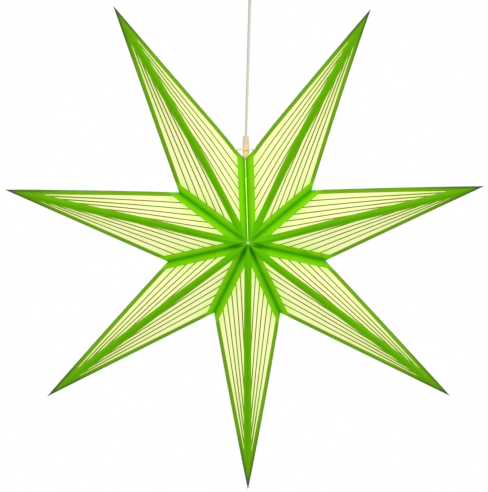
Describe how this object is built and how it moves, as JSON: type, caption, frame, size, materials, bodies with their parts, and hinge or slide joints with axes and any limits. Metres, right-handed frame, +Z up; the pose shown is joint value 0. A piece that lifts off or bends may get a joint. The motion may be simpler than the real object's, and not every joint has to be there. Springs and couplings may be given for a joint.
{
  "type": "paper star lantern",
  "caption": "Hanging seven-pointed lantern of folded, slit green card with glowing pale linings, on a lampholder, a flat cord and a ceiling cup.",
  "frame": {"origin": "the ceiling plane, at the middle of the ceiling bar's top face, above the cord", "axes": "+Z up, front of the star towards -Y, +X to the right seen from the front"},
  "size_m": [0.6034, 0.1292, 0.691],
  "materials": {
    "green_card": "matt coloured card, lit from within",
    "lining_paper": "thin pale translucent paper, glowing",
    "wire": "soft drawn wire",
    "grip_plastic": "cream moulded plastic, lit from below",
    "holder_plastic": "off-white moulded plastic",
    "brass": "stamped sheet",
    "opal_glass": "opal, lit",
    "cord_pvc": "soft grey-beige sheath",
    "cup_plastic": "smooth white moulded plastic",
    "plated_steel": "zinc plated"
  },
  "bodies": {
    "root": {"star_point_upper_right": "green_card", "star_point_right": "green_card", "star_point_lower_right": "green_card", "star_point_bottom": "green_card", "star_point_lower_left": "green_card", "star_point_left": "green_card", "star_point_upper_left": "green_card", "lining_upper_right": "lining_paper", "lining_right": "lining_paper", "lining_lower_right": "lining_paper", "lining_bottom": "lining_paper", "lining_lower_left": "lining_paper", "lining_left": "lining_paper", "lining_upper_left": "lining_paper", "tie_wire": "wire", "cord_grip": "grip_plastic", "holder_cap": "holder_plastic", "holder_skirt": "holder_plastic", "holder_core": "holder_plastic", "screw_shell": "brass", "centre_contact": "brass", "bulb": "opal_glass", "cord": "cord_pvc", "cup_grip": "cup_plastic", "cup_grip_nut": "cup_plastic", "cup_grip_screw": "plated_steel", "ceiling_cup": "cup_plastic", "cup_screws": "plated_steel", "ceiling_bar": "plated_steel", "terminal_block": "cup_plastic", "terminal_screws": "plated_steel"}
  },
  "joints": []
}
